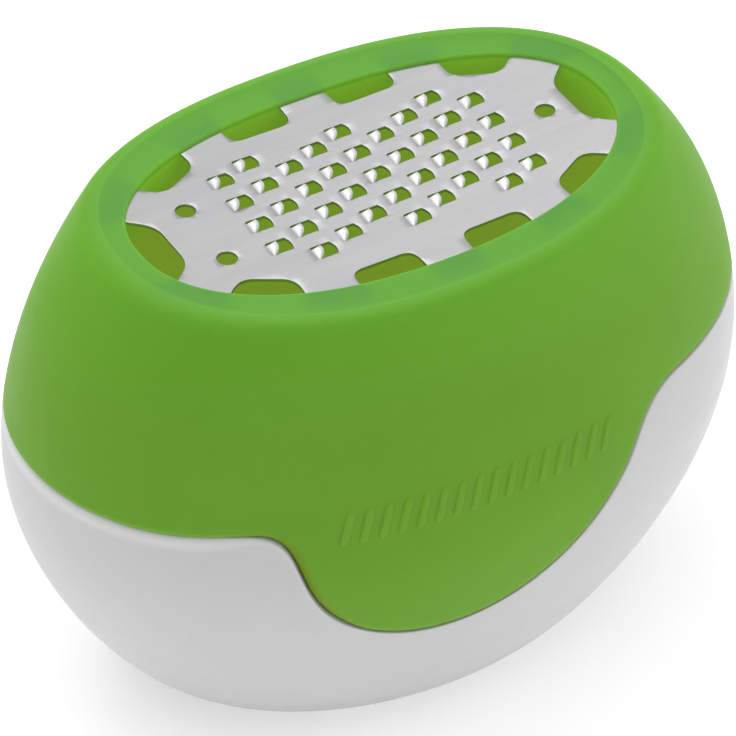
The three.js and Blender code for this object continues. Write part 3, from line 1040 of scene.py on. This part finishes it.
def pale_backdrop():
    skin = Surface("pale_backdrop")
    cloud = skin.noise(scale=0.5, detail=2)
    skin.feed("Emission Strength", skin.spread(cloud, 0.3, 0.7, to_low=0.78, to_high=0.82))
    skin.set(base_color=(0, 0, 0, 1), emission_color=(1, 1, 1, 1), roughness=1.0)
    return skin.material


# ---- The studio ----

FLOOR = 4000  # half the floor's side, and the backdrop's radius
WORLD_STRENGTH = 0.5
VIEW_AZIMUTH = -30.44  # degrees, from the -Y side towards +X
VIEW_ELEVATION = 41.08
VIEW_DISTANCE = 590 * MM
VIEW_TARGET = Vector((-0.8, 0.5, 40.4)) * MM
VIEW_LENS = 196.94
VIEW_SENSOR = 36
# Azimuth, elevation, distance and size in metres, and brightness.
SOFTBOXES = {
    "softbox_top": (180, 75, 1.3, 2.2, 0.85),
    "softbox_back": (197, 53, 0.9, 0.3, 3.2),
    "softbox_left": (-100, 30, 0.9, 0.8, 0.12),
    "softbox_right": (60, 30, 0.9, 0.8, 0.85),
}


def toward(azimuth, elevation):
    """The direction from the object to a viewer at those angles, in degrees."""
    a = math.radians(azimuth)
    e = math.radians(elevation)
    return Vector((math.sin(a) * math.cos(e), -math.cos(a) * math.cos(e), math.sin(e)))


def aim(item, azimuth, elevation, distance, target):
    back = toward(azimuth, elevation)
    item.location = target + back * distance
    item.rotation_mode = "QUATERNION"
    item.rotation_quaternion = (-back).to_track_quat("-Z", "Y")


def make_camera():
    data = bpy.data.cameras.new("camera")
    data.sensor_width = VIEW_SENSOR
    data.lens = VIEW_LENS
    camera = bpy.data.objects.new("camera", data)
    bpy.context.scene.collection.objects.link(camera)
    aim(camera, VIEW_AZIMUTH, VIEW_ELEVATION, VIEW_DISTANCE, VIEW_TARGET)
    bpy.context.scene.camera = camera


def make_light(name, azimuth, elevation, distance, size, brightness):
    """A round softbox; brightness is its radiance, where the world's is its strength."""
    data = bpy.data.lights.new(name, "AREA")
    data.shape = "DISK"
    data.size = size
    data.energy = brightness * math.pi * math.pi * size * size / 4
    light = bpy.data.objects.new(name, data)
    bpy.context.scene.collection.objects.link(light)
    aim(light, azimuth, elevation, distance, Vector((0, 0, cad_high.z / 2)))


def make_floor():
    corners = [(-FLOOR, -FLOOR, 0), (FLOOR, -FLOOR, 0), (FLOOR, FLOOR, 0), (-FLOOR, FLOOR, 0)]
    floor = make_piece("floor", corners, [(0, 1, 2, 3)])
    floor.data.materials.append(pale_floor())


def make_backdrop():
    """A pale round wall at the floor's edge. Only the camera sees it, so the world's light gets in."""
    turn = np.linspace(0, 2 * math.pi, 65)[:-1]
    foot = np.stack([np.cos(turn), np.sin(turn), 0 * turn], -1) * FLOOR
    count = len(foot)
    faces = []
    for i in range(count):
        beside = (i + 1) % count
        faces.append((i, count + i, count + beside, beside))
    wall = make_piece("backdrop", np.vstack([foot, foot + [0, 0, FLOOR]]), faces)
    wall.data.materials.append(pale_backdrop())
    wall.visible_diffuse = False
    wall.visible_glossy = False
    wall.visible_transmission = False
    wall.visible_shadow = False


def make_studio():
    make_floor()
    make_backdrop()
    for name, values in SOFTBOXES.items():
        make_light(name, *values)
    world = bpy.data.worlds.new("studio")
    world.use_nodes = True
    background = world.node_tree.nodes["Background"]
    background.inputs["Color"].default_value = (1, 1, 1, 1)
    background.inputs["Strength"].default_value = WORLD_STRENGTH
    bpy.context.scene.world = world
    bpy.context.scene.view_settings.view_transform = "Standard"


# ---- Assembly ----


def finish_piece(piece, material, body, node):
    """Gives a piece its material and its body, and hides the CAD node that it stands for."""
    piece.data.materials.append(material)
    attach(piece, body)
    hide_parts(node)


finish_piece(make_cup(), white_plastic(), "cup", "base_cup")
rubber = green_rubber("green_rubber", GRIP_SOFTNESS)
finish_piece(make_grip(), rubber, "head", "grip_shell")
finish_piece(make_blade(), brushed_steel(), "head", "blade")
ribs = make_ribs()
ribs.data.materials.append(green_rubber("green_rubber_ribs", softness=0.0))
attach(ribs, "head")
make_studio()
make_camera()
